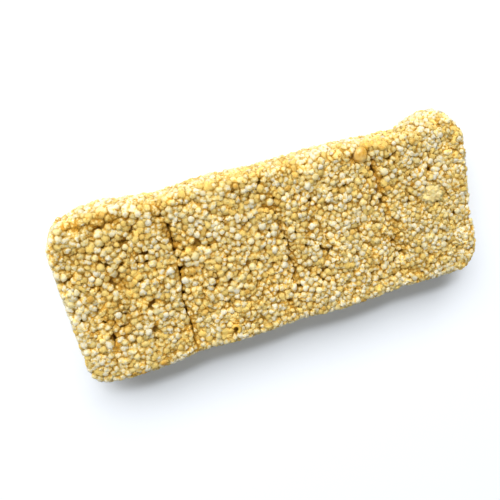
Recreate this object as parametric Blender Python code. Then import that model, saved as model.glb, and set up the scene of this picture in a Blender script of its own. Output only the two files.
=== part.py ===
"""A scored bar of popped amaranth brittle, lying flat with its scored face up.

The bar is one pressed block of popped grain. Three score lines cross its upper face and mark
off four portions. The block was cut by hand, so each portion bulges a little on its own, the
corners are worn to different radii, and one long side flares out beside the last portion.

Units are metres, +Z is up, +X runs along the bar and the origin is under the middle of the bar.
"""

import math

import bmesh
import bpy
from mathutils import Vector, noise

# Driving sizes of the block.
LENGTH = 0.1226
WIDTH = 0.0472
THICKNESS = 0.0150
EDGE_RADIUS = 0.0024
SIDE_SWELL = 0.0004

# Score lines, from the first portion to the last: where each one crosses the middle of the
# bar, how far it leans along X for each metre across Y, how deep it is pressed, its half width.
SCORE_X = (-0.0293, 0.0024, 0.0333)
SCORE_LEAN = (0.006, -0.022, -0.098)
SCORE_DEPTH = (0.0034, 0.0017, 0.0015)
SCORE_HALF_WIDTH = (0.0013, 0.0024, 0.0024)
SCORE_FLANK = 1.4

# Each score line wavers from side to side, and in depth, along its way across the bar.
SCORE_WANDER = 0.0006
WANDER_LENGTH = 0.0068
DEPTH_WANDER = 0.25
DEPTH_WANDER_LENGTH = 0.0041
SCORE_PHASE = 2.1

# How far each portion swells past the straight edge, on the far (+Y) and the near (-Y) side.
FAR_SWELL = (0.0018, 0.0009, 0.0006, -0.0006)
NEAR_SWELL = (0.0016, 0.0007, 0.0010, 0.0005)

# Radius of each corner in plan: -X -Y, +X -Y, +X +Y, -X +Y.
CORNER_RADIUS = (0.0046, 0.0062, 0.0072, 0.0078)

# The flare of the far side beside the last portion, and the share it loses at its foot.
FLARE = 0.0036
FLARE_TUCK = 0.3
FLARE_X = 0.0540
FLARE_HALF_LENGTH = 0.0088

# The low bulge of the +X end, near its -Y corner.
END_BULGE = 0.0011
END_BULGE_Y = -0.0155
END_BULGE_HALF_WIDTH = 0.0095

# How fast a swelling of a side, and of the end, dies away towards the middle of the bar.
EDGE_HOLD = 3
END_HOLD = 9

# The upper face: how much each portion is domed, and its low, wide ripple.
DOME = 0.0004
RIPPLE = 0.00035
RIPPLE_LENGTH = 0.0095

# Fineness of the mesh.
COLUMNS_PER_PORTION = 13
INNER_ROWS = 14
WALL_STEPS = 4
ARC_TANGENTS = (1.0, math.tan(math.radians(22.5)), 0.0)
FLAT_WITHIN = 1e-6


def end_stations(half, inner):
    """Places across one axis: an arc's worth at each end, and the inner ones between them."""
    rim = [half - EDGE_RADIUS * (1.0 - tangent) for tangent in ARC_TANGENTS]
    return [-place for place in rim] + inner + rim[::-1]


def spaced(low, high, count):
    """Even places between low and high, without the two ends."""
    return [low + (high - low) * step / count for step in range(1, count)]


def column_stations():
    """Places along the bar, closest together beside the score lines."""
    flat_end = LENGTH / 2 - EDGE_RADIUS
    marks = (-flat_end, *SCORE_X, flat_end)
    inner = []
    for low, high in zip(marks, marks[1:]):
        for step in range(1, COLUMNS_PER_PORTION + 1):
            share = 0.5 - 0.5 * math.cos(math.pi * step / COLUMNS_PER_PORTION)
            inner.append(low + (high - low) * share)
    return end_stations(LENGTH / 2, inner[:-1])


def row_stations():
    """Places across the bar."""
    flat_edge = WIDTH / 2 - EDGE_RADIUS
    return end_stations(WIDTH / 2, spaced(-flat_edge, flat_edge, INNER_ROWS))


def level_stations():
    """Places up the thickness, measured from its middle."""
    flat_wall = THICKNESS / 2 - EDGE_RADIUS
    return end_stations(THICKNESS / 2, spaced(-flat_wall, flat_wall, WALL_STEPS))


def gridded_block(stations):
    """A closed block with a vertex at each pair of stations on each of its six sides."""
    mesh = bmesh.new()
    bmesh.ops.create_cube(mesh, size=1.0)
    for axis, places in enumerate(stations):
        along = [edge for edge in mesh.edges if abs((edge.verts[0].co - edge.verts[1].co)[axis]) > 0.5]
        bmesh.ops.subdivide_edges(mesh, edges=along, cuts=len(places) - 2)
    for vert in mesh.verts:
        for axis, places in enumerate(stations):
            vert.co[axis] = places[round((vert.co[axis] + 0.5) * (len(places) - 1))]
    return mesh


def round_edges(point):
    """Carries a point on the sharp block to the block with rounded upper and lower edges."""
    flat = (LENGTH / 2 - EDGE_RADIUS, WIDTH / 2 - EDGE_RADIUS, THICKNESS / 2 - EDGE_RADIUS)
    core = Vector(max(-f, min(f, p)) for p, f in zip(point, flat))
    out = point - core
    reach = math.hypot(max(abs(out.x), abs(out.y)), out.z)
    return core + out * EDGE_RADIUS / reach if reach > EDGE_RADIUS else point


def round_corner(point):
    """Pulls the plan of a corner in to that corner's own radius."""
    right, far = point.x > 0, point.y > 0
    radius = CORNER_RADIUS[(2 if far else 1) if right else (3 if far else 0)]
    over_x = abs(point.x) - (LENGTH / 2 - radius)
    over_y = abs(point.y) - (WIDTH / 2 - radius)
    if over_x <= 0 or over_y <= 0:
        return point
    pull = max(over_x, over_y) / math.hypot(over_x, over_y)
    x = LENGTH / 2 - radius + over_x * pull
    y = WIDTH / 2 - radius + over_y * pull
    return Vector((math.copysign(x, point.x), math.copysign(y, point.y), point.z))


def score_line_x(index, y):
    """Where a score line runs at one place across the bar."""
    wander = SCORE_WANDER * math.sin(index * SCORE_PHASE + y / WANDER_LENGTH)
    return SCORE_X[index] + SCORE_LEAN[index] * y + wander


def follow_scores(point):
    """Moves the columns along X so that they lie along the leaning score lines."""
    marks = (-LENGTH / 2, *SCORE_X, LENGTH / 2)
    shifts = [0.0, *(score_line_x(i, point.y) - SCORE_X[i] for i in range(len(SCORE_X))), 0.0]
    for portion, (low, high) in enumerate(zip(marks, marks[1:])):
        if low <= point.x <= high:
            share = (point.x - low) / (high - low)
            shift = shifts[portion] * (1.0 - share) + shifts[portion + 1] * share
            return Vector((point.x + shift, point.y, point.z))
    return point


def portion_share(x):
    """The portion at one place along the bar, and how far along that portion it is, 0 to 1."""
    marks = (-LENGTH / 2, *SCORE_X, LENGTH / 2)
    portion = sum(x > mark for mark in SCORE_X)
    low, high = marks[portion], marks[portion + 1]
    return portion, max(0.0, min(1.0, (x - low) / (high - low)))


def swell_sides(point):
    """Gives each portion its own bulge in plan, and the last one its flared far side."""
    portion, share = portion_share(point.x)
    height = point.z / (THICKNESS / 2)
    above, below = max(0.0, height), max(0.0, -height)
    swell = (FAR_SWELL if point.y > 0 else NEAR_SWELL)[portion] * math.sin(math.pi * share)
    swell += SIDE_SWELL * (1.0 - height ** 2)
    if point.y > 0:
        beside = max(0.0, 1.0 - ((point.x - FLARE_X) / FLARE_HALF_LENGTH) ** 2)
        swell += FLARE * beside * (1.0 - above ** 2) * (1.0 - FLARE_TUCK * below)
    edge = (abs(point.y) / (WIDTH / 2)) ** EDGE_HOLD
    return Vector((point.x, math.copysign(abs(point.y) + swell * edge, point.y), point.z))


def swell_end(point):
    """Pushes out the low bulge of the +X end."""
    beside = max(0.0, 1.0 - ((point.y - END_BULGE_Y) / END_BULGE_HALF_WIDTH) ** 2)
    reach = max(0.0, point.x / (LENGTH / 2)) ** END_HOLD
    return Vector((point.x + END_BULGE * beside * reach, point.y, point.z))


def score_depth(x, y):
    """How deep the score lines are at one place on the upper face."""
    deepest = 0.0
    for index, depth in enumerate(SCORE_DEPTH):
        away = abs(x - score_line_x(index, y)) / SCORE_HALF_WIDTH[index]
        if away < 1.0:
            waver = math.sin(index * SCORE_PHASE - y / DEPTH_WANDER_LENGTH)
            uneven = 1.0 - DEPTH_WANDER + DEPTH_WANDER * waver
            deepest = max(deepest, depth * uneven * (1.0 - away) ** SCORE_FLANK)
    return deepest


def face_relief(point):
    """Domes the portions, ripples the upper face and presses the score lines into it."""
    if point.z <= 0:
        return point
    share = portion_share(point.x)[1]
    across = max(0.0, 1.0 - (point.y / (WIDTH / 2)) ** 2)
    dome = DOME * (math.sin(math.pi * share) * across - 1.0)
    ripple = RIPPLE * noise.noise(Vector((point.x, point.y, 0.0)) / RIPPLE_LENGTH)
    rise = (point.z / (THICKNESS / 2)) ** EDGE_HOLD
    moved = point.z + rise * (dome + ripple - score_depth(point.x, point.y))
    return Vector((point.x, point.y, moved))


def shaped(point):
    """Where a point of the sharp block ends up on the finished bar, still centred on Z."""
    for step in (round_edges, round_corner, swell_sides, swell_end, follow_scores, face_relief):
        point = step(point)
    return point


def stand_at_origin(mesh):
    """Brings the middle of the bar's underside to the origin."""
    for axis in range(3):
        places = [vert.co[axis] for vert in mesh.verts]
        middle = (min(places) + max(places)) / 2
        shift = min(places) if axis == 2 else middle
        for vert in mesh.verts:
            vert.co[axis] -= shift


def merge_underside(mesh):
    """Makes the flat underside one face, which the bar rests on."""
    flat = [face for face in mesh.faces if all(vert.co.z < FLAT_WITHIN for vert in face.verts)]
    bmesh.ops.dissolve_faces(mesh, faces=flat, use_verts=True)


def finish_material():
    """Pale gold popped grain bound in syrup."""
    material = bpy.data.materials.new("popped_amaranth")
    material.use_nodes = True
    shader = material.node_tree.nodes["Principled BSDF"]
    shader.inputs["Base Color"].default_value = (0.76, 0.58, 0.28, 1.0)
    shader.inputs["Roughness"].default_value = 0.55
    shader.inputs["Metallic"].default_value = 0.0
    return material


def brittle_bar():
    """The whole bar as one object, standing on Z = 0."""
    mesh = gridded_block((column_stations(), row_stations(), level_stations()))
    for vert in mesh.verts:
        vert.co = shaped(vert.co.copy())
    stand_at_origin(mesh)
    merge_underside(mesh)
    bmesh.ops.recalc_face_normals(mesh, faces=mesh.faces)
    data = bpy.data.meshes.new("brittle_bar")
    mesh.to_mesh(data)
    mesh.free()
    data.shade_smooth()
    data.materials.append(finish_material())
    bar = bpy.data.objects.new("brittle_bar", data)
    bpy.context.scene.collection.objects.link(bar)
    return bar


for leftover in list(bpy.data.objects):
    bpy.data.objects.remove(leftover, do_unlink=True)
brittle_bar()
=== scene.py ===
"""Looks of a scored bar of popped amaranth brittle.

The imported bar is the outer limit. A syrup-brown core that lies about three millimetres inside
it stands in for the solid, and thousands of popped grains are packed against the inside of the
bar's surface, sorted into one mesh for each kind of grain. A few lumps of set syrup sit in the
upper face. All lengths are in metres.
"""

import logging
import math
from dataclasses import dataclass, field
from enum import Enum

import bmesh
import bpy
import numpy as np
from mathutils import Matrix, Vector, noise
from mathutils.bvhtree import BVHTree
from mathutils.kdtree import KDTree


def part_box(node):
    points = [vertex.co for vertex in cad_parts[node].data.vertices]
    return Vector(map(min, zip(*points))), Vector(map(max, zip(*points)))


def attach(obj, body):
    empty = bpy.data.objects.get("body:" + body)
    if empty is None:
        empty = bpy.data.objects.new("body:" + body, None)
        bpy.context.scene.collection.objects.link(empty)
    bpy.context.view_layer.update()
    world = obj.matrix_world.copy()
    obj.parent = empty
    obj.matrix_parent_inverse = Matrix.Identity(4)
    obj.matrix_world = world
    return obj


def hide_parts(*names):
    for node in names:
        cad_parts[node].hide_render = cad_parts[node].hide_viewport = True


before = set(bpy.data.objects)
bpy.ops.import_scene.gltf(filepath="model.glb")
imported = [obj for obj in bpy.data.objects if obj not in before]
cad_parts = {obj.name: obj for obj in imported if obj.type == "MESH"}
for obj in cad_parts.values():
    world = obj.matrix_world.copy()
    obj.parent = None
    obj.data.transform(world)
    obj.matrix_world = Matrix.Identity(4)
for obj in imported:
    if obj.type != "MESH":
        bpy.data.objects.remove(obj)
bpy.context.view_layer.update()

Colour = tuple[float, float, float]
Place = tuple[float, float, float]
Span = tuple[float, float]
Socket = bpy.types.NodeSocket

LOG = logging.getLogger("brittle")
BODY = "root"
NODE = "brittle_bar"
SEED = 4127

# A surface faces an axis when its normal leans at least this much that way.
FACING = 0.3

# Turns a place into the start of a waver or a noise, so that each piece has its own.
OWN_START = 1e3

# The whole range of a share, the same turned round, and the range where a soft noise lies.
WHOLE = (0.0, 1.0)
FALLING = (1.0, 0.0)
SOFT_SPAN = (0.35, 0.65)

# Vertices this near are one, in metres and on a shape one unit in radius.
MERGE_DISTANCE = 1e-6
UNIT_MERGE_DISTANCE = 1e-5
TINY = 1e-9


class GrainKind(Enum):
    """The kinds of popped grain, from the palest to the most toasted."""

    IVORY = "ivory"
    CREAM = "cream"
    STRAW = "straw"
    HONEY = "honey"
    GOLDEN = "golden"
    TOASTED = "toasted"


@dataclass(frozen=True)
class Tint:
    """The pale and the deep colour between which the grains of one kind vary."""

    pale: Colour
    deep: Colour
    share: float


TINTS = {
    GrainKind.IVORY: Tint((0.76, 0.725, 0.56), (0.75, 0.705, 0.50), 0.17),
    GrainKind.CREAM: Tint((0.75, 0.705, 0.53), (0.745, 0.688, 0.475), 0.23),
    GrainKind.STRAW: Tint((0.75, 0.685, 0.45), (0.740, 0.660, 0.385), 0.23),
    GrainKind.HONEY: Tint((0.755, 0.665, 0.355), (0.735, 0.605, 0.265), 0.20),
    GrainKind.GOLDEN: Tint((0.75, 0.585, 0.205), (0.71, 0.50, 0.12), 0.14),
    GrainKind.TOASTED: Tint((0.74, 0.46, 0.10), (0.60, 0.33, 0.05), 0.025),
}


@dataclass(frozen=True)
class Glow:
    """How much light soaks into a finish, how deep and in what colour, and how much it shines."""

    weight: float
    depth: float
    colour: Colour
    shine: float


class NodeTree:
    """Short hand for building one material's nodes."""

    def __init__(self, name: str) -> None:
        """Starts an empty material.

        Args:
            name: The material's name.
        """
        self.material = bpy.data.materials.new(name)
        self.material.use_nodes = True
        self.nodes = self.material.node_tree.nodes
        self.links = self.material.node_tree.links
        self.shader = self.nodes["Principled BSDF"]
        self.place = self.nodes.new("ShaderNodeTexCoord").outputs["Object"]

    def set_inputs(self, node: bpy.types.Node, **values: object) -> None:
        """Sets the inputs of a node.

        Args:
            node: The node.
            values: A number, a colour or a socket for each input, with _ for a space in its name.
        """
        for name, value in values.items():
            target = node.inputs[name.replace("_", " ")]
            if isinstance(value, Socket):
                self.links.new(value, target)
            else:
                target.default_value = value

    def shade(self, **values: object) -> None:
        """Sets inputs of the shader, as set_inputs does."""
        self.set_inputs(self.shader, **values)

    def node(self, kind: str, **values: object) -> bpy.types.Node:
        """Adds a node.

        Args:
            kind: The type of the node, without its prefix.
            values: Its inputs, as for set_inputs.

        Returns:
            The node.
        """
        node = self.nodes.new(f"ShaderNode{kind}")
        self.set_inputs(node, **values)
        return node

    def attribute(self, name: str) -> Socket:
        """Reads one of the piece's own attributes.

        Args:
            name: The attribute's name.

        Returns:
            Its value.
        """
        node = self.node("Attribute")
        node.attribute_name = name
        return node.outputs["Fac"]

    def cloud(self, size: float, detail: float = 3.0, rough: float = 0.6) -> Socket:
        """A noise whose patches are about as large as size.

        Args:
            size: The width of a patch.
            detail: How many finer noises are laid over it.
            rough: How strong the finer noises are.

        Returns:
            The noise's value, about 0.3 to 0.7.
        """
        node = self.node("TexNoise", Vector=self.place, Scale=1.0 / size, Detail=detail, Roughness=rough)
        return node.outputs["Fac"]

    def puffs(self, size: float, smooth: float = 0.35) -> Socket:
        """Round swellings with creases between them.

        Args:
            size: The width of a swelling.
            smooth: How much the creases are softened.

        Returns:
            A value that is low on a swelling and about 0.6 in a crease.
        """
        node = self.node("TexVoronoi", Vector=self.place, Scale=1.0 / size)
        node.feature = "SMOOTH_F1"
        self.set_inputs(node, Smoothness=smooth)
        return node.outputs["Distance"]

    def remap(self, value: Socket, source: Span, target: Span) -> Socket:
        """Carries a value from one range to another, and holds it there.

        Args:
            value: The socket to read.
            source: The range it is read over.
            target: The range it is carried to.

        Returns:
            The carried value.
        """
        node = self.node("MapRange", Value=value, From_Min=source[0], From_Max=source[1],
                         To_Min=target[0], To_Max=target[1])
        return node.outputs["Result"]

    def mix(self, factor: Socket, low: Colour | Socket, high: Colour | Socket) -> Socket:
        """Mixes two colours.

        Args:
            factor: The share of the second colour.
            low: The first colour, as numbers or a socket.
            high: The second colour, as numbers or a socket.

        Returns:
            The mixed colour.
        """
        node = self.node("Mix", Factor=factor)
        node.data_type = "RGBA"
        for name, colour in (("A", low), ("B", high)):
            socket = next(s for s in node.inputs if s.name == name and s.type == "RGBA")
            if isinstance(colour, Socket):
                self.links.new(colour, socket)
            else:
                socket.default_value = (*colour, 1.0)
        return next(s for s in node.outputs if s.type == "RGBA")

    def add(self, first: Socket, second: Socket) -> Socket:
        """Adds two values.

        Args:
            first: One value.
            second: The other.

        Returns:
            Their sum.
        """
        node = self.node("Math")
        node.operation = "ADD"
        self.links.new(first, node.inputs[0])
        self.links.new(second, node.inputs[1])
        return node.outputs["Value"]

    def bump(self, height: Socket, strength: float, depth: float) -> None:
        """Roughens the shader's surface.

        Args:
            height: The relief to read.
            strength: How much of it shows.
            depth: How deep it is.
        """
        node = self.node("Bump", Strength=strength, Distance=depth, Height=height)
        self.shade(Normal=node.outputs["Normal"])

    def roughen(self, size: float, roughness: Span) -> None:
        """Lets the roughness drift over a range, in soft patches of one size."""
        patches = self.cloud(size, detail=2.0, rough=0.5)
        self.shade(Roughness=self.remap(patches, SOFT_SPAN, roughness))

    def soak(self, glow: Glow) -> None:
        """Lets light into the finish."""
        self.shade(Subsurface_Weight=glow.weight, Subsurface_Scale=glow.depth,
                   Subsurface_Radius=glow.colour, Specular_IOR_Level=glow.shine)


@dataclass(frozen=True)
class GrainFinish:
    """The skin of one kind of popped grain: pale on its outer side, golden and brown where syrup clings
    and where shade is painted.
    """

    kind: GrainKind
    tint: Tint
    # Golden and dark brown, laid on by each vertex's syrup and painted shade: partly syrup, partly painted
    # shade in folds, creases, holes and cracks.
    gold: Colour = (0.80, 0.60, 0.175)
    syrup: Colour = (0.52, 0.275, 0.030)
    gold_from: Span = (0.12, 0.60)
    gold_share: Span = (0.0, 0.95)
    syrup_shade_from: Span = (0.45, 1.00)
    speckle: float = 0.00085
    speckle_from: Span = (0.32, 0.68)
    speckle_shade: Span = (-0.26, 0.26)
    puff: float = 0.00075
    # Painted shade: the creases between the puffs get a deeper tint and more syrup colour.
    crease_from: Span = (0.25, 0.70)
    crease_painted_shade: Span = (-0.12, 0.34)
    swelling_from: Span = (0.0, 0.8)
    pore: float = 0.00034
    pore_from: Span = (0.25, 0.75)
    pore_height: Span = (0.0, 0.55)
    relief: float = 0.00042
    relief_share: float = 0.6
    patch: float = 0.0009
    roughness: Span = (0.38, 0.68)
    glow: Glow = Glow(1.0, 0.0029, (1.0, 0.95, 0.80), 0.18)

    def material(self) -> bpy.types.Material:
        """Builds the finish from each vertex's tone, syrup and painted shade, and from speckles and
        painted shade in the creases.

        Returns:
            The grain's material.
        """
        tree = NodeTree(f"{self.kind.value}_grain")
        crease = tree.puffs(self.puff)
        speckles = tree.remap(tree.cloud(self.speckle), self.speckle_from, self.speckle_shade)
        # Painted shade in the creases, added to the random speckles.
        speckles_and_crease_shade = tree.add(speckles, tree.remap(crease, self.crease_from, self.crease_painted_shade))
        shade = tree.remap(tree.add(tree.attribute("tone"), speckles_and_crease_shade), WHOLE, WHOLE)
        skin = tree.mix(shade, self.tint.pale, self.tint.deep)
        syrup_and_shade = tree.add(tree.attribute("syrup_and_shade"), speckles_and_crease_shade)
        gilt_and_shade = tree.mix(tree.remap(syrup_and_shade, self.gold_from, self.gold_share), skin, self.gold)
        tree.shade(Base_Color=tree.mix(tree.remap(syrup_and_shade, self.syrup_shade_from, WHOLE), gilt_and_shade, self.syrup))
        tree.roughen(self.patch, self.roughness)
        pores = tree.remap(tree.cloud(self.pore), self.pore_from, self.pore_height)
        relief = tree.add(tree.remap(crease, self.swelling_from, FALLING), pores)
        tree.bump(relief, self.relief_share, self.relief)
        tree.shader.subsurface_method = "BURLEY"
        tree.soak(self.glow)
        return tree.material


@dataclass(frozen=True)
class SyrupFinish:
    """Set syrup in patches of two colours, with painted shade laid dark where the piece's attribute says
    so.
    """

    name: str
    light: Colour
    dark: Colour
    patch: float = 0.0014
    roughness: Span = (0.18, 0.40)
    relief: float = 0.00018
    patch_from: Span = (0.34, 0.66)
    patch_rough: float = 0.6
    sheen_patch: float = 0.0012
    grit: float = 0.0006
    relief_share: float = 0.7
    glow: Glow = Glow(0.35, 0.0010, (1.0, 0.7, 0.3), 0.5)
    # A dark colour painted as shade where the piece's attribute says so, over this range of it.
    painted_shade: Colour | None = None
    painted_shade_from: Span = (0.05, 0.5)

    def material(self) -> bpy.types.Material:
        """Builds the finish from patches, and from the piece's attribute, as painted shade, if it has a
        shade colour.

        Returns:
            The syrup's material.
        """
        tree = NodeTree(self.name)
        patch = tree.remap(tree.cloud(self.patch, rough=self.patch_rough), self.patch_from, WHOLE)
        colour = tree.mix(patch, self.light, self.dark)
        if self.painted_shade:
            shaded = tree.remap(tree.attribute("painted_shade"), self.painted_shade_from, WHOLE)
            colour = tree.mix(shaded, colour, self.painted_shade)
        tree.shade(Base_Color=colour)
        tree.roughen(self.sheen_patch, self.roughness)
        tree.bump(tree.cloud(self.grit), self.relief_share, self.relief)
        tree.soak(self.glow)
        return tree.material


@dataclass(frozen=True)
class FloorFinish:
    """A plain white paper floor."""

    colour: Colour = (0.895, 0.942, 1.0)
    roughness: float = 0.9
    shine: float = 0.1

    def material(self) -> bpy.types.Material:
        """Builds the finish, which is the same all over.

        Returns:
            The floor's material.
        """
        tree = NodeTree("white_floor")
        tree.shade(Base_Color=(*self.colour, 1.0), Roughness=self.roughness,
                   Specular_IOR_Level=self.shine)
        return tree.material


def put_in_scene(name: str, data: bpy.types.ID) -> bpy.types.Object:
    """Puts a mesh, a lamp or a camera in the scene.

    Args:
        name: The object's name.
        data: What it holds.

    Returns:
        The object.
    """
    holder = bpy.data.objects.new(name, data)
    bpy.context.scene.collection.objects.link(holder)
    return holder


def sort_faces(mesh: bmesh.types.BMesh) -> None:
    """Puts the faces in a fixed order, because spin leaves them in another one on each run.

    Args:
        mesh: The bmesh, where no two faces have the same lowest and the same highest vertex.
    """
    mesh.verts.index_update()
    count = len(mesh.verts)
    mesh.faces.sort(key=lambda face: count * min(vert.index for vert in face.verts)
                    + max(vert.index for vert in face.verts))


def mesh_data(name: str, mesh: bmesh.types.BMesh) -> bpy.types.Mesh:
    """Turns a bmesh into a mesh that an object can hold.

    Args:
        name: The mesh's name.
        mesh: The bmesh, which is freed.

    Returns:
        The mesh.
    """
    data = bpy.data.meshes.new(name)
    mesh.to_mesh(data)
    mesh.free()
    return data


def give_values(data: bpy.types.Mesh, name: str, values: np.ndarray) -> None:
    """Gives a mesh an attribute with one value for each vertex."""
    layer = data.attributes.new(name, "FLOAT", "POINT")
    layer.data.foreach_set("value", values.astype(np.float32))


def new_piece(name: str, data: bpy.types.Mesh, material: bpy.types.Material) -> bpy.types.Object:
    """Puts a finished mesh in the scene as one smooth piece of the bar.

    Args:
        name: The piece's name.
        data: Its mesh, in place.
        material: Its finish.

    Returns:
        The piece.
    """
    data.shade_smooth()
    data.materials.append(material)
    piece = put_in_scene(name, data)
    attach(piece, BODY)
    LOG.info("%s: %d faces", name, len(data.polygons))
    return piece


def soft_noise(places: np.ndarray, length: float) -> np.ndarray:
    """A smooth noise at each place, in patches about as wide as length."""
    return np.array([noise.noise(Vector(place) / length) for place in places])


@dataclass
class BarForm:
    """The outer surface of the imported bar, which every grain is laid against."""

    node: bpy.types.Object
    headroom: float = 0.01
    skin: bmesh.types.BMesh = field(init=False)
    tree: BVHTree = field(init=False)
    corners: np.ndarray = field(init=False)
    weights: np.ndarray = field(init=False)
    area: float = field(init=False)
    low: Vector = field(init=False)
    high: Vector = field(init=False)

    def __post_init__(self) -> None:
        """Reads the node's mesh, with its loose triangles merged."""
        self.low, self.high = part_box(self.node.name)
        self.skin = bmesh.new()
        self.skin.from_mesh(self.node.data)
        bmesh.ops.remove_doubles(self.skin, verts=self.skin.verts, dist=MERGE_DISTANCE)
        self.measure()

    def measure(self) -> None:
        """Takes down the skin's faces, so that places on it can be found and drawn by lot."""
        self.skin.normal_update()
        self.tree = BVHTree.FromBMesh(self.skin)
        self.corners = np.array([[v.co[:] for v in f.verts] for f in self.skin.faces])
        areas = np.array([f.calc_area() for f in self.skin.faces])
        self.area = float(areas.sum())
        self.weights = areas / self.area

    def top(self, x: float, y: float) -> Vector:
        """The place on the upper face over one place in plan."""
        above = Vector((x, y, self.high.z + self.headroom))
        return self.tree.ray_cast(above, Vector((0.0, 0.0, -1.0)))[0]

    def nearest(self, place: np.ndarray) -> tuple[Vector, Vector]:
        """The nearest place on the surface, and the surface's normal there."""
        return self.tree.find_nearest(Vector(place))[:2]

    def scatter(self, count: int, rng: np.random.Generator) -> np.ndarray:
        """Random places, spread evenly over the surface.

        Args:
            count: How many places.
            rng: The source of chance.

        Returns:
            The places, one row each.
        """
        picked = self.corners[rng.choice(len(self.corners), count, p=self.weights)]
        u, v = rng.random((2, count, 1))
        fold = u + v > 1.0
        u, v = np.where(fold, 1.0 - u, u), np.where(fold, 1.0 - v, v)
        return picked[:, 0] + u * (picked[:, 1] - picked[:, 0]) + v * (picked[:, 2] - picked[:, 0])


@dataclass(frozen=True)
class ScorePlan:
    """One score line: its place, the share of its depth left open, and its crack's open parts."""

    near_x: float
    open_share: float
    half_width: float
    stretches: tuple[Span, ...]


@dataclass
class ScoreLine:
    """One score line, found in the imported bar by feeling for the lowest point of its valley."""

    form: BarForm
    near_x: float
    rim: float = 0.004
    stops: int = 41
    reach: float = 0.0045
    feelers: int = 61
    shoulder: float = 0.0030
    upper_share: float = 0.6
    places: list[Span] = field(default_factory=list)

    def __post_init__(self) -> None:
        """Feels across the valley at even steps over the bar's width."""
        tries = np.linspace(self.near_x - self.reach, self.near_x + self.reach, self.feelers)
        for y in np.linspace(self.form.low.y + self.rim, self.form.high.y - self.rim, self.stops):
            heights = [self.form.top(x, y).z for x in tries]
            self.places.append((float(y), float(tries[int(np.argmin(heights))])))

    def x_at(self, y: np.ndarray) -> np.ndarray:
        """Where the line runs at each place across the bar."""
        across, along = zip(*self.places)
        return np.interp(y, across, along)

    def bridge(self, share: float) -> None:
        """Lets grains stand in the valley, so that only a share of its depth stays open.

        Args:
            share: The share of the depth that stays.
        """
        form = self.form
        lifts = []
        for vert in form.skin.verts:
            line = float(self.x_at(vert.co.y))
            if abs(vert.co.x - line) > self.shoulder:
                continue
            beside = [form.top(line + side * self.shoulder, vert.co.y) for side in (-1, 1)]
            if None in beside or vert.co.z < self.upper_share * form.high.z:
                continue
            level = (beside[0].z + beside[1].z) / 2
            if vert.co.z < level:
                lifts.append((vert, level - share * (level - vert.co.z)))
        for vert, height in lifts:
            vert.co.z = height
        form.measure()


@dataclass(frozen=True)
class Ripple:
    """An uneven wave, whose crests come closer and farther apart along its way."""

    height: float
    length: float
    drift: float
    drift_length: float

    def at(self, y: np.ndarray) -> np.ndarray:
        """The wave's height at each place."""
        return self.height * np.sin(y / self.length + self.drift * np.sin(y / self.drift_length))


@dataclass
class Crack:
    """A crack along a score line, open along some stretches of its way."""

    plan: ScorePlan
    line: ScoreLine
    waver: float = 0.00035
    waver_length: float = 0.0022
    jitter: Ripple = Ripple(0.00016, 0.00071, 1.3, 0.0019)
    ragged: Ripple = Ripple(0.5, 0.00083, 1.7, 0.0021)
    usual_width: float = 0.75
    blunt: float = 0.0012

    def x_at(self, y: np.ndarray) -> np.ndarray:
        """Where the crack runs at each place across the bar."""
        start = self.plan.near_x * OWN_START
        return self.line.x_at(y) + self.waver * np.sin(y / self.waver_length + start) + self.jitter.at(y)

    def gap(self, places: np.ndarray) -> np.ndarray:
        """Half of the crack's width beside each place.

        Args:
            places: The places, one row each.

        Returns:
            The half width, and nothing where the crack is shut.
        """
        y = places[:, 1]
        open_share = np.zeros(len(y))
        for low, high in self.plan.stretches:
            inside = np.minimum(y - low, high - y) / self.blunt
            open_share = np.maximum(open_share, np.clip(inside, 0.0, 1.0))
        return self.plan.half_width * open_share * (self.usual_width + self.ragged.at(y))

    def away(self, places: np.ndarray) -> np.ndarray:
        """How far each place is from the crack, negative on its -X side."""
        return places[:, 0] - self.x_at(places[:, 1])


@dataclass(frozen=True)
class Pit:
    """A hole in the upper face where a grain or two have fallen out."""

    x: float
    y: float
    radius: float

    def share(self, places: np.ndarray) -> np.ndarray:
        """How far each place is inside the pit: 1 in its middle, 0 from its rim outward."""
        away = np.hypot(places[:, 0] - self.x, places[:, 1] - self.y)
        return np.clip(1.0 - away / self.radius, 0.0, 1.0)


@dataclass(frozen=True)
class Groove:
    """A furrow in the upper face, along which the grains lie deeper and are coloured darker: partly syrup,
    partly painted shade.
    """

    depth: float
    gilt_and_shade: float
    way: tuple[Span, ...]
    half_width: float = 0.0009

    def share(self, places: np.ndarray) -> np.ndarray:
        """How near each place is to the furrow's middle.

        Args:
            places: The places, one row each.

        Returns:
            1 on the furrow's middle line, and nearly 0 outside of the furrow.
        """
        plan = places[:, :2]
        best = np.full(len(plan), np.inf)
        for start, end in zip(np.array(self.way), np.array(self.way[1:])):
            run = end - start
            along = np.clip((plan - start) @ run / (run @ run), 0.0, 1.0)
            best = np.minimum(best, np.linalg.norm(plan - start - along[:, None] * run, axis=1))
        return np.exp(-(best / self.half_width) ** 2)


@dataclass(frozen=True)
class MarkedGrain:
    """One grain that stands out from its neighbours, by its place in plan."""

    kind: GrainKind
    x: float
    y: float
    radius: float


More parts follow.
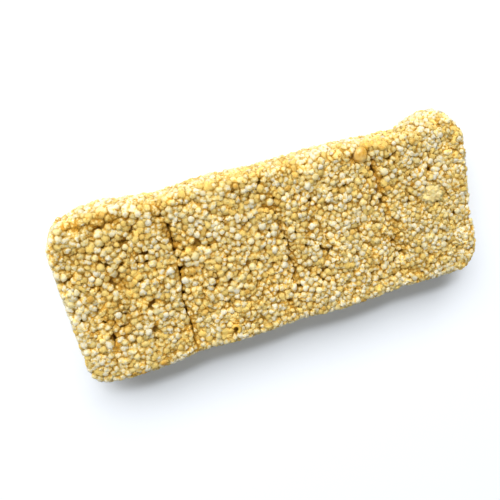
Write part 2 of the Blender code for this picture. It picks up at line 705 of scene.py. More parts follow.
@dataclass
class GrainBed:
    """Grains packed two or three deep against the inside of the bar's surface."""

    form: BarForm
    rng: np.random.Generator
    cracks: tuple[Crack, ...]
    grooves: tuple[Groove, ...]
    marked: tuple[MarkedGrain, ...]
    radius: float = 0.00117
    spread: float = 0.12
    taper: float = 0.10
    crumb_share: float = 0.12
    crumb_size: float = 0.70
    deepest: float = 0.0030
    overhang: float = 0.3
    fill: float = 1.58
    tries_per_grain: int = 2
    give: float = 0.73
    steps: int = 34
    steps_per_search: int = 4
    search_reach: float = 2.6
    rough: float = 0.00034
    billow: float = 0.00080
    billow_length: float = 0.0036
    pressed: float = 0.76
    pressed_rough: float = 0.6
    near_side: float = 0.0042
    near_side_fade: float = 0.0014
    near_side_pressed: float = 0.1
    far_side_share: float = 0.85
    loose_from: float = 0.3
    loose_fade: float = 0.5
    marked_depth: float = 0.9
    crack_room: float = 0.60
    places: np.ndarray = field(init=False)
    normals: np.ndarray = field(init=False)
    radii: np.ndarray = field(init=False)
    depths: np.ndarray = field(init=False)

    def __post_init__(self) -> None:
        """Scatters the grains through the shell and lets them push each other apart."""
        shell = self.form.area * (self.deepest + self.overhang * self.radius)
        ball = 4.0 / 3.0 * math.pi * self.radius ** 3
        count = int(self.fill * shell / ball)
        self.radii = self.radius * np.exp(self.rng.normal(0.0, self.spread, count))
        self.radii[self.rng.random(count) < self.crumb_share] *= self.crumb_size
        tries = self.form.scatter(self.tries_per_grain * count, self.rng)
        size = 1.0 - self.taper * tries[:, 0] / self.form.high.x
        chance = self.rng.random(len(size)) * size ** 3
        picked = np.argsort(chance)[:count]
        self.places = tries[picked]
        self.radii *= size[picked]
        self.normals = np.zeros_like(self.places)
        self.depths = np.zeros(count)
        self.pin_marked()
        start = self.rng.uniform(self.radii, self.deepest)
        self.hold_within(start, start)
        rough = np.abs(self.rng.normal(0.0, self.rough, count))
        for step in range(self.steps):
            if step % self.steps_per_search == 0:
                pairs = self.neighbours()
                least = self.least(rough)
            self.push_apart(pairs)
            self.part_at_cracks()
            self.pin_marked()
            self.hold_within(least, np.full(count, self.deepest))

    def pin_marked(self) -> None:
        """Brings the marked grains, which are the first ones, back to their places."""
        for index, grain in enumerate(self.marked):
            top = self.form.top(grain.x, grain.y)
            self.radii[index] = grain.radius
            self.places[index] = (top.x, top.y, top.z - self.marked_depth * grain.radius)

    def least(self, rough: np.ndarray) -> np.ndarray:
        """The least depth of each grain: less on the pressed sides, in billows elsewhere.

        Args:
            rough: How much deeper each grain lies by its own chance.

        Returns:
            The least depth of each grain's middle.
        """
        billow = soft_noise(self.places, self.billow_length)
        rim = self.form.low.y + self.near_side - self.places[:, 1]
        near_side = np.clip(rim / self.near_side_fade, 0.0, 1.0)
        ahead, far, up = self.normals.T
        broken = np.maximum.reduce((up, ahead, self.far_side_share * far))
        on_top = np.clip((broken - self.loose_from) / self.loose_fade, 0.0, 1.0) * (1.0 - near_side)
        loose = self.radii + rough + self.billow * np.maximum(0.0, billow)
        for groove in self.grooves:
            loose += groove.depth * groove.share(self.places)
        pressed = (self.pressed - self.near_side_pressed * near_side) * self.radii
        pressed += self.pressed_rough * rough
        least = on_top * loose + (1.0 - on_top) * pressed
        least[:len(self.marked)] = self.pressed * self.radii[:len(self.marked)]
        return least

    def neighbours(self) -> np.ndarray:
        """Finds the grains that may touch.

        Returns:
            The indices of each pair, once.
        """
        tree = KDTree(len(self.places))
        for i, place in enumerate(self.places):
            tree.insert(place, i)
        tree.balance()
        reach = self.radius * self.search_reach
        return np.array([(i, j) for i, place in enumerate(self.places)
                         for _, j, _ in tree.find_range(place, reach) if j > i])

    def push_apart(self, pairs: np.ndarray) -> None:
        """Moves each pair that overlaps apart by half of the overlap each.

        Args:
            pairs: The indices of the two grains of each pair.
        """
        first, second = pairs.T
        apart = self.places[second] - self.places[first]
        distance = np.linalg.norm(apart, axis=1, keepdims=True) + TINY
        wanted = self.give * (self.radii[first] + self.radii[second])[:, None]
        shift = np.maximum(0.0, wanted - distance) * 0.5 * apart / distance
        for axis in range(3):
            moved = np.bincount(second, shift[:, axis], len(self.places))
            moved -= np.bincount(first, shift[:, axis], len(self.places))
            self.places[:, axis] += moved

    def part_at_cracks(self) -> None:
        """Shifts the grains along each open crack to either side of it."""
        facing = self.normals[:, 2] > FACING
        for crack in self.cracks:
            gap = crack.gap(self.places)
            away = crack.away(self.places)
            clear = self.crack_room * self.radii + gap
            shut = facing & (gap > 0.0) & (np.abs(away) < clear)
            self.places[shut, 0] += (np.where(away < 0.0, -1.0, 1.0) * clear - away)[shut]

    def hold_within(self, least: np.ndarray, most: np.ndarray) -> None:
        """Brings each grain back between its least and its greatest depth.

        Args:
            least: The least depth of each grain's middle under the surface.
            most: The greatest.
        """
        for i, place in enumerate(self.places):
            near, normal = self.form.nearest(place)
            depth = (near - Vector(place)).dot(normal)
            held = min(max(depth, least[i]), most[i])
            if held != depth:
                self.places[i] = near - normal * held
            self.normals[i] = normal
            self.depths[i] = held


@dataclass
class GrainShapes:
    """The shapes that popped grains come in: lobes swollen out of one small ball."""

    rng: np.random.Generator
    cuts: int
    count: int = 20
    core: float = 0.82
    lobe_sizes: Span = (0.34, 0.54)
    knobbly: tuple[int, float] = (8, 0.70)
    plump: tuple[int, float] = (4, 0.52)
    plump_every: int = 3
    double: tuple[tuple[Place, float], ...] = (((0.48, 0.0, 0.0), 0.78), ((-0.52, 0.1, 0.0), 0.72))
    double_every: int = 5
    tuck: float = 1.6
    rounds: np.ndarray = field(init=False)
    tucks: np.ndarray = field(init=False)
    faces: np.ndarray = field(init=False)

    def __post_init__(self) -> None:
        """Makes each shape from a small round one."""
        ball = self.ball()
        self.faces = np.array([[v.index for v in f.verts] for f in ball.faces])
        ball.free()
        self.rounds = np.stack([self.shape(index) for index in range(self.count)])
        reach = np.linalg.norm(self.rounds, axis=2)
        folds = 1.0 - reach / reach.max(axis=1, keepdims=True)
        self.tucks = np.clip(self.tuck * folds, 0.0, 1.0)

    def ball(self) -> bmesh.types.BMesh:
        """Rounds off a cube that is cut into a few dozen four-sided faces.

        Returns:
            A ball, one unit in radius.
        """
        mesh = bmesh.new()
        bmesh.ops.create_cube(mesh, size=2.0)
        bmesh.ops.subdivide_edges(mesh, edges=mesh.edges, cuts=self.cuts, use_grid_fill=True)
        for vert in mesh.verts:
            x, y, z = (math.tan(math.pi / 4 * c) for c in vert.co)
            vert.co = Vector((x, y, z)).normalized()
        mesh.verts.index_update()
        return mesh

    def lobes(self, index: int) -> list[tuple[Vector, float]]:
        """The middles and radii of the lobes that one shape is the union of.

        Args:
            index: The shape's number. Every fifth is double, and every third of the rest plump.

        Returns:
            Each lobe's middle and radius.
        """
        if index % self.double_every == 0:
            return [(Vector(middle), size) for middle, size in self.double]
        count, offset = self.plump if index % self.plump_every == 0 else self.knobbly
        ways = [Vector(self.rng.normal(size=3)).normalized() for _ in range(count)]
        sizes = self.rng.uniform(*self.lobe_sizes, count)
        return [(way * offset, size) for way, size in zip(ways, sizes)] + [(Vector(), self.core)]

    def shape(self, index: int) -> np.ndarray:
        """One shape's vertices, about one unit from its middle.

        Args:
            index: The shape's number.

        Returns:
            The vertices, one row each.
        """
        mesh = self.ball()
        lobes = self.lobes(index)
        for vert in mesh.verts:
            reaches = []
            for middle, size in lobes:
                along = vert.co.dot(middle)
                inside = size * size - middle.length_squared + along * along
                reaches.append(along + math.sqrt(inside) if inside > 0.0 else 0.0)
            vert.co = vert.co * max(reaches)
        shape = np.array([v.co[:] for v in mesh.verts])
        mesh.free()
        return shape / np.linalg.norm(shape, axis=1).mean()


def random_turns(count: int, rng: np.random.Generator) -> np.ndarray:
    """Random turns, as matrices.

    Args:
        count: How many turns.
        rng: The source of chance.

    Returns:
        One 3 by 3 matrix for each.
    """
    w, x, y, z = rng.normal(size=(count, 4)).T
    size = np.sqrt(w * w + x * x + y * y + z * z)
    w, x, y, z = w / size, x / size, y / size, z / size
    return np.stack([
        np.stack([1 - 2 * (y * y + z * z), 2 * (x * y - z * w), 2 * (x * z + y * w)], 1),
        np.stack([2 * (x * y + z * w), 1 - 2 * (x * x + z * z), 2 * (y * z - x * w)], 1),
        np.stack([2 * (x * z - y * w), 2 * (y * z + x * w), 1 - 2 * (x * x + y * y)], 1),
    ], 1)


@dataclass
class MeshParts:
    """Vertices, four-sided faces, and each vertex's tone and its syrup and painted shade."""

    points: np.ndarray
    faces: np.ndarray
    tone: np.ndarray
    syrup_and_shade: np.ndarray

    def joined(self, other: "MeshParts") -> "MeshParts":
        """Joins these parts and other ones.

        Args:
            other: The other ones.

        Returns:
            All of them as one.
        """
        faces = np.concatenate((self.faces, other.faces + len(self.points)))
        points, tone, syrup_and_shade = (np.concatenate((getattr(self, name), getattr(other, name)))
                              for name in ("points", "tone", "syrup_and_shade"))
        return MeshParts(points, faces, tone, syrup_and_shade)

    def mesh(self, name: str) -> bpy.types.Mesh:
        """Makes a mesh of the parts.

        Args:
            name: The mesh's name.

        Returns:
            The mesh, with one attribute for the tone and one for the syrup and painted shade.
        """
        data = bpy.data.meshes.new(name)
        data.vertices.add(len(self.points))
        data.vertices.foreach_set("co", self.points.astype(np.float32).ravel())
        data.loops.add(self.faces.size)
        data.loops.foreach_set("vertex_index", self.faces.astype(np.int32).ravel())
        data.polygons.add(len(self.faces))
        data.polygons.foreach_set("loop_start", np.arange(0, self.faces.size, 4, dtype=np.int32))
        give_values(data, "tone", self.tone)
        give_values(data, "syrup_and_shade", self.syrup_and_shade)
        data.update(calc_edges=True)
        return data


@dataclass
class SyrupBit:
    """A lump of set syrup that sits in the upper face: a drop, a rough lump or a curl."""

    form: BarForm
    finish: SyrupFinish
    x: float
    y: float
    size: tuple[float, float, float]
    turn: float
    sunk: float = 0.35
    knobs: float = 0.12
    knob_scales: Span = (1.3, 3.4)
    narrow_share: float = 0.5
    grit: float = 0.0
    grit_level: float = 0.5
    grit_scale: float = 3.2
    corners: float = 0.0
    corner_count: float = 3.0
    fineness: int = 5
    clear: float = 1.12
    curl: float = 0.0
    curl_hole: float = 0.55
    curl_bend: float = 0.74
    curl_thickness: float = 0.30
    curl_sides: int = 14
    curl_steps: int = 26

    def middle(self) -> Vector:
        """The middle of the bit, set into the face."""
        return self.form.top(self.x, self.y) - Vector((0.0, 0.0, self.sunk * self.size[2]))

    def covers(self, places: np.ndarray) -> np.ndarray:
        """Tells which places the bit takes up.

        Args:
            places: The places, one row each.

        Returns:
            True for each place inside the bit, but not in the hole of a curl.
        """
        turned = Matrix.Rotation(-math.radians(self.turn), 3, "Z")
        own = (places - np.array(self.middle())) @ np.array(turned).T / np.array(self.size)
        reach = np.linalg.norm(own, axis=1)
        return (reach < self.clear) & ((reach > self.curl_hole) | (self.curl == 0.0))

    def lump(self) -> bmesh.types.BMesh:
        """Roughens a ball with knobs and grit, and pulls it out at blunt corners.

        Returns:
            The lump, about one unit in radius.
        """
        broad, narrow = self.knob_scales
        own = Vector((self.x, self.y, 0.0)) * OWN_START
        mesh = bmesh.new()
        bmesh.ops.create_icosphere(mesh, subdivisions=self.fineness, radius=1.0)
        for vert in mesh.verts:
            rise = self.knobs * noise.noise(vert.co * broad + own)
            rise += self.narrow_share * self.knobs * noise.noise(vert.co * narrow)
            rise += self.grit * (self.grit_level - noise.voronoi(vert.co * self.grit_scale)[0][0])
            rise += self.corners * math.cos(self.corner_count * math.atan2(vert.co.y, vert.co.x))
            vert.co = vert.co * (1.0 + rise)
        return mesh

    def curled(self) -> bmesh.types.BMesh:
        """Spins a round section about the middle, and closes both ends.

        Returns:
            The curl, about one unit in radius.
        """
        mesh = bmesh.new()
        upright = Matrix.Rotation(math.radians(90), 4, "X")
        bmesh.ops.create_circle(mesh, cap_ends=True, segments=self.curl_sides, radius=self.curl_thickness,
                                matrix=Matrix.Translation((self.curl_bend, 0.0, 0.0)) @ upright)
        start = mesh.faces[:]
        bmesh.ops.spin(mesh, geom=start, cent=(0.0, 0.0, 0.0), axis=(0.0, 0.0, 1.0),
                       angle=math.radians(self.curl), steps=self.curl_steps, use_merge=False)
        bmesh.ops.delete(mesh, geom=[f for f in start if f.is_valid], context="FACES_ONLY")
        bmesh.ops.remove_doubles(mesh, verts=mesh.verts, dist=UNIT_MERGE_DISTANCE)
        bmesh.ops.holes_fill(mesh, edges=[e for e in mesh.edges if e.is_boundary])
        bmesh.ops.recalc_face_normals(mesh, faces=mesh.faces)
        sort_faces(mesh)
        return mesh

    def build(self) -> None:
        """Makes the bit, set into the face and held under the top of the bar's box."""
        mesh = self.curled() if self.curl else self.lump()
        place = Matrix.Translation(self.middle()) @ Matrix.Rotation(math.radians(self.turn), 4, "Z")
        place = place @ Matrix.Diagonal((*self.size, 1.0))
        bmesh.ops.transform(mesh, matrix=place, verts=mesh.verts)
        for vert in mesh.verts:
            vert.co.z = min(vert.co.z, self.form.high.z)
        name = self.finish.name
        new_piece(name, mesh_data(name, mesh), self.finish.material())


@dataclass(frozen=True)
class SyrupShadeRule:
    """What adds syrup and painted shade to a grain and what takes them off. 0 is a bare grain, 1 is the
    darkest, thick syrup and deep painted shade.
    """

    usual: float = 0.44
    # Partly clinging syrup, partly painted shade: more on the inner flanks, on sunken grains and in folds.
    outer_side: float = 0.54
    sunken: float = 0.10
    fold: float = 0.30
    # Painted shade in the creases where grains touch, partly gathered syrup, and on grains sunk deep.
    touch: float = 0.40
    touch_at_rim: float = 0.25
    touch_reach: float = 0.00038
    deep: float = 0.5
    deep_from: float = 0.3
    pressed: float = 2.0
    pressed_most: float = 0.4
    # Paler on the rim: partly pressed sides, partly painted light on the brightly lit sides.
    rim: float = 0.08
    # Paler toward the +X end: painted light.
    last_end: float = 0.05
    pool: float = 0.22
    pool_length: float = 0.0050
    # Painted shade on the walls of the open cracks.
    crack: float = 1.3
    crack_reach: float = 0.0004
    crack_depth: float = 0.0012


@dataclass
class GrainCoat:
    """The grains that show, sorted into one mesh for each kind."""

    form: BarForm
    rng: np.random.Generator
    cracks: tuple[Crack, ...]
    grooves: tuple[Groove, ...]
    marked: tuple[MarkedGrain, ...]
    pits: tuple[Pit, ...]
    bits: tuple[SyrupBit, ...]
    rule: SyrupShadeRule = SyrupShadeRule()
    fine_cuts: int = 2
    coarse_cuts: int = 1
    lost_share: float = 0.029
    crumbled_end: float = 3.0
    hollow_share: float = 0.35
    crack_margin: float = 1.5
    crack_reach: float = 2.0
    outer_depth: float = 1.85
    underside: float = -0.7
    rim_width: float = 0.0042
    rim_fade: float = 0.0022
    patch_length: float = 0.0034
    broad_patch_length: float = 0.016
    broad_patch_share: float = 0.3
    patchiness: float = 3.0
    rim_paleness_and_painted_light: float = 0.7
    bed: GrainBed = field(init=False)
    pairs: np.ndarray = field(init=False)
    shapes: tuple[GrainShapes, GrainShapes] = field(init=False)
    kept: np.ndarray = field(init=False)

    def __post_init__(self) -> None:
        """Settles the bed and takes out the grains that have come away."""
        self.bed = bed = GrainBed(self.form, self.rng, self.cracks, self.grooves, self.marked)
        self.shapes = (GrainShapes(self.rng, self.fine_cuts), GrainShapes(self.rng, self.coarse_cuts))
        chance = self.rng.random(len(bed.radii))
        outer, facing = self.outer(), bed.normals[:, 2] > FACING
        open_side = facing | (bed.normals[:, 0] > FACING)
        crumbled = 1.0 + self.crumbled_end * np.maximum(0.0, bed.normals[:, 0])
        lost = outer & open_side & (chance < self.lost_share * crumbled)
        for crack in self.cracks:
            lost &= np.abs(crack.away(bed.places)) > self.crack_margin * bed.radius
        lost |= ~outer & (chance > 1.0 - self.hollow_share)
        for bit in self.bits:
            lost |= bit.covers(bed.places)
        for pit in self.pits:
            lost |= facing & (pit.share(bed.places) > 0.0)
        lost[:len(self.marked)] = False
        self.kept = ~lost
        pairs = bed.neighbours()
        pairs = np.concatenate((pairs, pairs[:, ::-1]))
        self.pairs = pairs[np.argsort(pairs[:, 0], kind="stable")]
        LOG.info("%d grains, %d of them outermost", self.kept.sum(), (outer & self.kept).sum())

    def outer(self) -> np.ndarray:
        """True for each grain of the outermost layer."""
        return self.bed.depths < self.outer_depth * self.bed.radius

    def fine(self) -> np.ndarray:
        """True for each grain that is made with the finer shape: outermost, and not underneath."""
        return self.outer() & (self.bed.normals[:, 2] > self.underside)

    def rim(self) -> np.ndarray:
        """Tells how near each grain is to the pale pressed sides, whose paleness is partly painted light.

        Returns:
            1 at the edge of the bar in plan, 0 from rim_width inwards.
        """
        x, y = self.bed.places[:, 0], self.bed.places[:, 1]
        inside = np.minimum.reduce((y - self.form.low.y, self.form.high.y - y, x - self.form.low.x))
        return np.clip((self.rim_width - inside) / self.rim_fade, 0.0, 1.0)

    def kinds(self) -> np.ndarray:
        """Draws the kind of each grain, from chance and from soft patches over the bar.

        Returns:
            The number of each grain's kind.
        """
        places = self.bed.places
        patch = soft_noise(places, self.patch_length)
        patch += self.broad_patch_share * soft_noise(places, self.broad_patch_length)
        score = self.rng.normal(size=len(places)) + self.patchiness * patch
        # Paler kinds on the rim: partly pressed sides, partly painted light.
        score -= self.rim_paleness_and_painted_light * self.rim()
        order = np.argsort(score)
        bounds = np.cumsum([0.0] + [TINTS[kind].share for kind in GrainKind])
        marks = (bounds / bounds[-1] * len(places)).astype(int)
        kinds = np.empty(len(places), int)
        for index, (low, high) in enumerate(zip(marks, marks[1:])):
            kinds[order[low:high]] = index
        for index, grain in enumerate(self.marked):
            kinds[index] = list(GrainKind).index(grain.kind)
        return kinds

    def grains(self, shapes: GrainShapes, chosen: np.ndarray) -> MeshParts:
        """Makes the chosen grains, each with its own shape, turn and size.

        Args:
            shapes: The shapes to draw from.
            chosen: The indices of the grains.

        Returns:
            Their vertices, faces and values.
        """
        turns = random_turns(len(chosen), self.rng)
        picks = self.rng.integers(0, shapes.count, len(chosen))
        radii = self.bed.radii[chosen][:, None, None]
        points = np.einsum("nij,nvj->nvi", turns, shapes.rounds[picks] * radii)
        normals = self.bed.normals[chosen][:, None]
        outward = np.einsum("nvi,ni->nv", points, normals[:, 0])
        pressed = np.maximum(0.0, outward - self.bed.depths[chosen][:, None])
        points = points - normals * pressed[:, :, None] + self.bed.places[chosen][:, None]
        points = self.broken(points, chosen)
        points = np.clip(points, self.form.low, self.form.high)
        syrup_and_shade = self.syrup_and_shade(points, chosen, outward, pressed, shapes.tucks[picks])
        tone = np.repeat(self.rng.random(len(chosen)), points.shape[1])
        faces = shapes.faces[None] + (np.arange(len(chosen)) * points.shape[1])[:, None, None]
        return MeshParts(points.reshape(-1, 3), faces.reshape(-1, 4), tone, syrup_and_shade.reshape(-1))

    def syrup_and_shade(self, points: np.ndarray, chosen: np.ndarray, outward: np.ndarray, pressed: np.ndarray,
             tucks: np.ndarray) -> np.ndarray:
        """Spreads syrup and painted shade over the chosen grains.

        Args:
            points: The vertices of each grain.
            chosen: The indices of the grains.
            outward: How far each vertex stands out from its grain's middle.
            pressed: How far it is pressed in by the bar's surface.
            tucks: How far it lies in a fold of its grain.

        Returns:
            The syrup and painted shade on each vertex.
        """
        rule, places = self.rule, self.bed.places[chosen]
        radii, depths = self.bed.radii[chosen][:, None], self.bed.depths[chosen][:, None]
        sunken, rim = depths / radii - 1.0, self.rim()[chosen][:, None]
        # Partly syrup, partly painted shade: more on the inner flanks, on sunken grains and in folds.
        syrup_and_shade = rule.usual - rule.outer_side * outward / radii + rule.sunken * sunken + rule.fold * tucks
        # Painted shade in the creases where grains touch, partly gathered syrup, and deeper still in
        # holes.
        contact_shade = (rule.touch - rule.touch_at_rim * rim) * self.touching(points, chosen)
        syrup_and_shade += contact_shade + rule.deep * np.maximum(0.0, sunken - rule.deep_from)
        # Paler where pressed against the surface, and on the rim, which is partly painted light.
        syrup_and_shade -= np.minimum(rule.pressed_most, rule.pressed * pressed / radii) + rule.rim * rim
        # Paler toward the +X end: painted light.
        syrup_and_shade -= rule.last_end * places[:, :1] / self.form.high.x
        syrup_and_shade += rule.pool * soft_noise(places, rule.pool_length)[:, None]
        # Darker along the furrows: partly syrup, partly painted shade.
        facing = self.bed.normals[chosen][:, 2] > FACING
        for groove in self.grooves:
            syrup_and_shade += groove.gilt_and_shade * (facing * groove.share(places))[:, None]
        # Painted shade on the walls of the open cracks, below the surface.
        flat = points.reshape(-1, 3)
        deep = np.clip((depths - outward) / rule.crack_depth, 0.0, 1.0)
        for crack in self.cracks:
            gap = crack.gap(flat)
            near = np.exp(-((np.abs(crack.away(flat)) - gap) / rule.crack_reach) ** 2)
            syrup_and_shade += rule.crack * (near * (gap > 0.0)).reshape(syrup_and_shade.shape) * deep
        return syrup_and_shade

    def touching(self, points: np.ndarray, chosen: np.ndarray) -> np.ndarray:
        """How near each vertex is to a neighbouring grain, where syrup gathers and shade is painted.

        Args:
            points: The vertices of each grain.
            chosen: The indices of the grains.

        Returns:
            1 where two grains touch, 0 where there is room between them.
        """
        own = np.full(len(self.kept), -1)
        own[chosen] = np.arange(len(chosen))
        pairs = self.pairs[(own[self.pairs[:, 0]] >= 0) & self.kept[self.pairs[:, 1]]]
        owner, other = own[pairs[:, 0]], pairs[:, 1]
        apart = points.astype(np.float32)[owner] - self.bed.places[other].astype(np.float32)[:, None]
        gaps = np.linalg.norm(apart, axis=2) - self.bed.radii[other][:, None]
        closest = np.full(points.shape[:2], np.inf)
        starts = np.flatnonzero(np.diff(owner, prepend=-1))
        closest[owner[starts]] = np.minimum.reduceat(gaps, starts)
        return np.clip(1.0 - closest / self.rule.touch_reach, 0.0, 1.0)

    def broken(self, points: np.ndarray, chosen: np.ndarray) -> np.ndarray:
        """Flattens the grains beside an open crack where they would bridge it.

        Args:
            points: The vertices of each grain.
            chosen: The indices of the grains.

        Returns:
            The vertices, none of them inside a crack.
        """
        flat = points.reshape(-1, 3)
        facing = np.repeat(self.bed.normals[chosen][:, 2] > FACING, points.shape[1])
        for crack in self.cracks:
            side = np.sign(crack.away(self.bed.places[chosen])).repeat(points.shape[1])
            gap, away = crack.gap(flat), crack.away(flat)
            over = facing & (gap > 0.0) & (side * away < gap)
            over &= np.abs(away) < self.crack_reach * self.bed.radius
            flat[over, 0] += (side * gap - away)[over]
        return flat.reshape(points.shape)

    def build(self) -> None:
        """Makes one piece for each kind of grain."""
        kinds, fine = self.kinds(), self.fine()
        for index, kind in enumerate(GrainKind):
            own = self.kept & (kinds == index)
            near = self.grains(self.shapes[0], np.flatnonzero(own & fine))
            far = self.grains(self.shapes[1], np.flatnonzero(own & ~fine))
            name = f"{kind.value}_grains"
            new_piece(name, near.joined(far).mesh(name), GrainFinish(kind, TINTS[kind]).material())


@dataclass
class SyrupCore:
    """The set syrup between the grains: a skin that pools high in places and cracks open."""

    form: BarForm
    bed: GrainBed
    pits: tuple[Pit, ...]
    # The darkest colour of this finish is painted shade, laid at the bottom of the open cracks and the
    # pits.
    finish: SyrupFinish = SyrupFinish(
        "set_syrup", (0.70, 0.45, 0.085), (0.42, 0.23, 0.030), patch=0.0022, patch_rough=0.55,
        patch_from=(0.36, 0.62), roughness=(0.22, 0.5), grit=0.0005, relief=0.0002,
        relief_share=0.4, glow=Glow(0.3, 0.001, (1.0, 0.6, 0.2), 0.3), painted_shade=(0.20, 0.080, 0.020))
    depth: float = 0.0031
    pool: float = 0.0006
    pool_length: float = 0.0036
    slot: float = 0.0060
    slot_reach: float = 0.0004
    full_width: float = 0.00012
    pit_share: float = 0.35
    voxel: float = 0.00050

    def skin(self) -> bpy.types.Mesh:
        """Divides the bar's surface evenly.

        Returns:
            The surface, as a mesh of small faces.
        """
        data = bpy.data.meshes.new("core_skin")
        self.form.skin.to_mesh(data)
        holder = put_in_scene("core_skin", data)
        remesh = holder.modifiers.new("even", "REMESH")
        remesh.mode = "VOXEL"
        remesh.voxel_size = self.voxel
        even = bpy.data.meshes.new_from_object(holder.evaluated_get(bpy.context.evaluated_depsgraph_get()))
        bpy.data.objects.remove(holder)
        return even

    def slots(self, points: np.ndarray) -> np.ndarray:
        """Tells where the core is slotted, under the cracks and the pits.

        Args:
            points: The places on the surface, one row each.

        Returns:
            The share of the slot's full depth at each place.
        """
        slots = np.zeros(len(points))
        for crack in self.bed.cracks:
            near = np.exp(-(crack.away(points) / self.slot_reach) ** 2) * (crack.gap(points) > 0.0)
            slots = np.maximum(slots, near * crack.plan.half_width / self.full_width)
        for pit in self.pits:
            slots = np.maximum(slots, self.pit_share * pit.share(points))
        return slots

    def build(self) -> None:
        """Makes the core as one piece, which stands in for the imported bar."""
        data = self.skin()
        points = np.empty(len(data.vertices) * 3)
        data.vertices.foreach_get("co", points)
        points = points.reshape(-1, 3)
        slots, painted_shade = self.slots(points), np.zeros(len(points))
        deeper = sum(groove.depth * groove.share(points) for groove in self.bed.grooves)
        for i, point in enumerate(points):
            near, normal = self.form.nearest(point)
            depth = self.depth + deeper[i] - self.pool * noise.noise(near / self.pool_length)
            if normal.z > FACING:
                depth += self.slot * slots[i]
                # Painted shade on the core, as strong as the slot under the cracks and pits is deep.
                painted_shade[i] = slots[i]
            points[i] = near - normal * depth
        data.vertices.foreach_set("co", points.ravel())
        give_values(data, "painted_shade", painted_shade)
        data.update()
        core = new_piece("syrup_core", data, self.finish.material())
        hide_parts(NODE)


@dataclass(frozen=True)
class Panel:
    """A rectangular lamp that faces the bar."""

    name: str
    azimuth: float
    elevation: float
    size: Span
    power: float
    colour: Colour
    distance: float = 4.0

    def place(self) -> Vector:
        """Finds where the lamp stands, from its angles round the +Y axis and over the floor.

        Returns:
            The place.
        """
        turn, lift = math.radians(self.azimuth), math.radians(self.elevation)
        level = math.cos(lift)
        return self.distance * Vector((-math.sin(turn) * level, math.cos(turn) * level, math.sin(lift)))


@dataclass
class Studio:
    """The white floor, the soft light and the camera."""

    focal: float = 43.2
    sensor: float = 36.0
    clip_start: float = 0.005
    eye: Place = (-0.03424, 0.06344, 0.16920)
    aim: Place = (-0.00902, 0.00254, 0.01500)
    roll: float = 142.7
    panels: tuple[Panel, ...] = (
        Panel("small_panel", 8.0, 48.0, (1.6, 0.45), 57.0, (0.98, 1.0, 1.03)),
        Panel("broad_panel", 10.0, 35.0, (4.4, 1.80), 209.0, (0.985, 0.965, 0.955)),
    )
    sky: float = 0.30
    sky_colour: Colour = (0.975, 0.96, 0.93)
    floor_half: float = 3.0

    def floor(self) -> None:
        """A wide white floor under the bar."""
        mesh = bmesh.new()
        bmesh.ops.create_grid(mesh, x_segments=1, y_segments=1, size=self.floor_half)
        floor = put_in_scene("floor", mesh_data("floor", mesh))
        floor.data.materials.append(FloorFinish().material())

    def lights(self) -> None:
        """A small lamp and a broad one from the far side, and an even pale sky."""
        for panel in self.panels:
            lamp = bpy.data.lights.new(panel.name, "AREA")
            lamp.shape = "RECTANGLE"
            lamp.size, lamp.size_y = panel.size
            lamp.energy = panel.power
            lamp.color = panel.colour
            holder = put_in_scene(panel.name, lamp)
            holder.location = panel.place()
            holder.rotation_euler = (-holder.location).to_track_quat("-Z", "Y").to_euler()
        world = bpy.data.worlds.new("studio")
        world.use_nodes = True
        sky = world.node_tree.nodes["Background"]
        sky.inputs["Color"].default_value = (*self.sky_colour, 1.0)
        sky.inputs["Strength"].default_value = self.sky
        bpy.context.scene.world = world
        bpy.context.scene.view_settings.view_transform = "Standard"

    def camera(self) -> None:
        """The camera, turned about its own axis as the photograph's is to the bar."""
        lens = bpy.data.cameras.new("camera")
        lens.lens = self.focal
        lens.sensor_width = self.sensor
        lens.clip_start = self.clip_start
        ahead = (Vector(self.aim) - Vector(self.eye)).to_track_quat("-Z", "Y").to_matrix().to_4x4()
        turn = Matrix.Rotation(math.radians(self.roll), 4, "Z")
        camera = put_in_scene("camera", lens)
        camera.matrix_world = Matrix.Translation(self.eye) @ ahead @ turn
        bpy.context.scene.camera = camera

    def build(self) -> None:
        """Sets up the floor, the lights and the camera."""
        self.floor()
        self.lights()
        self.camera()


# The score lines, from the -X end to the +X end.
SCORES = (
    ScorePlan(-0.0298, 0.25, 0.00007, ((-0.0240, 0.0042), (0.0072, 0.0165))),
    ScorePlan(0.0020, 0.85, 0.00004, ((-0.0148, -0.0124), (-0.0022, 0.0010))),
    ScorePlan(0.0328, 0.85, 0.00003, ((0.0125, 0.0160),)),
)

# The furrows along the score lines, beside the -X end and under the first portion's lip.
GROOVES = (
    Groove(0.0002, 0.20, ((-0.0294, 0.0170), (-0.0293, 0.0053), (-0.0300, -0.0003), (-0.0289, -0.0215))),
    Groove(0.0004, 0.42, ((-0.0004, 0.0189), (0.0006, 0.0152), (0.0017, 0.0062), (0.0030, -0.0007),
                          (0.0030, -0.0087), (0.0029, -0.0150))),
    Groove(0.0004, 0.42, ((0.0321, 0.0174), (0.0328, 0.0097), (0.0338, 0.0005), (0.0366, -0.0123))),
    Groove(0.0008, 0.50, ((-0.0552, 0.0216), (-0.0480, 0.0212), (-0.0403, 0.0210))),
    Groove(0.0005, 0.30, ((-0.0514, 0.0047), (-0.0516, -0.0096), (-0.0520, -0.0167))),
    Groove(0.0014, 0.60, ((-0.0517, -0.0106), (-0.0520, -0.0155))),
    Groove(0.0006, 0.30, ((-0.0056, 0.0081), (-0.0042, 0.0049)), 0.0006),
)

# The holes that show dark on the upper face: the place in plan and the radius of each.
PITS = tuple(Pit(*hole) for hole in (
    (0.0030, -0.0087, 0.00085), (0.0029, -0.0137, 0.00100), (0.0028, -0.0007, 0.00080),
    (-0.0515, -0.0122, 0.00100), (-0.0519, -0.0148, 0.00080), (-0.0579, -0.0129, 0.00080),
    (0.0485, 0.0106, 0.00085), (0.0366, -0.0123, 0.00075), (-0.0052, 0.0066, 0.00070),
    (-0.0512, 0.0045, 0.00070), (0.0125, -0.0035, 0.00070), (0.0318, 0.0172, 0.00080),
))

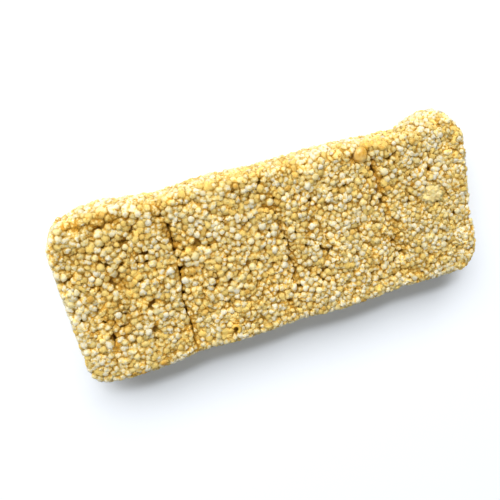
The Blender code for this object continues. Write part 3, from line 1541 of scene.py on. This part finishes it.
# The grains that stand out on the upper face: the place in plan and the radius of each.
MARKED_PLACES = {
    GrainKind.IVORY: (
        (-0.0336, 0.0197, 0.00125), (-0.0338, 0.0176, 0.00120), (-0.0166, 0.0110, 0.00130),
        (-0.0190, 0.0100, 0.00105), (-0.0006, 0.0066, 0.00140), (-0.0560, 0.0165, 0.00120),
        (-0.0335, -0.0012, 0.00120), (-0.0215, -0.0035, 0.00120), (-0.0490, -0.0050, 0.00125),
        (-0.0365, -0.0140, 0.00115),
    ),
    GrainKind.TOASTED: (
        (-0.0545, 0.0015, 0.00125), (-0.0475, -0.0105, 0.00125), (-0.0258, -0.0125, 0.00130),
        (0.0055, 0.0167, 0.00115), (0.0433, 0.0200, 0.00110),
    ),
}
MARKED = tuple(MarkedGrain(kind, *mark) for kind, marks in MARKED_PLACES.items() for mark in marks)


def cracks(form: BarForm) -> tuple[Crack, ...]:
    """Finds the score lines, lets grains stand in them, and cracks them open in places.

    Args:
        form: The bar's surface, in which the score lines are found.

    Returns:
        The cracks.
    """
    found = tuple(Crack(plan, ScoreLine(form, plan.near_x)) for plan in SCORES)
    for crack in found:
        crack.line.bridge(crack.plan.open_share)
    return found


def syrup_bits(form: BarForm) -> tuple[SyrupBit, ...]:
    """Lists the lumps of set syrup in the upper face.

    Args:
        form: The bar's surface, in which they are set.

    Returns:
        The bits.
    """
    amber = SyrupFinish("amber_drop", (0.78, 0.57, 0.20), (0.60, 0.32, 0.03), patch=0.0021)
    straw = SyrupFinish("straw_lump", (0.81, 0.71, 0.37), (0.71, 0.53, 0.17), patch=0.0011,
                        roughness=(0.4, 0.65), relief=0.0008)
    gold = SyrupFinish("golden_curl", (0.78, 0.52, 0.10), (0.68, 0.40, 0.05))
    return (
        SyrupBit(form, amber, 0.0279, 0.0200, (0.0019, 0.0024, 0.0014), turn=-12.0, sunk=0.78),
        SyrupBit(form, straw, 0.0479, 0.0027, (0.0034, 0.0027, 0.0016), turn=-20.0, sunk=0.84,
                 knobs=0.30, grit=0.30, corners=0.06, clear=0.84),
        SyrupBit(form, gold, -0.0182, -0.0205, (0.0017, 0.0015, 0.0018), turn=-70.0, curl=215.0),
    )


def main() -> None:
    """Builds the bar's looks, piece by piece."""
    logging.basicConfig(level=logging.INFO, format="%(name)s %(message)s")
    rng = np.random.default_rng(SEED)
    form = BarForm(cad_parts[NODE])
    bits = syrup_bits(form)
    coat = GrainCoat(form, rng, cracks(form), GROOVES, MARKED, PITS, bits)
    coat.build()
    for bit in bits:
        bit.build()
    SyrupCore(form, coat.bed, PITS).build()
    Studio().build()


if __name__ == "__main__":
    main()
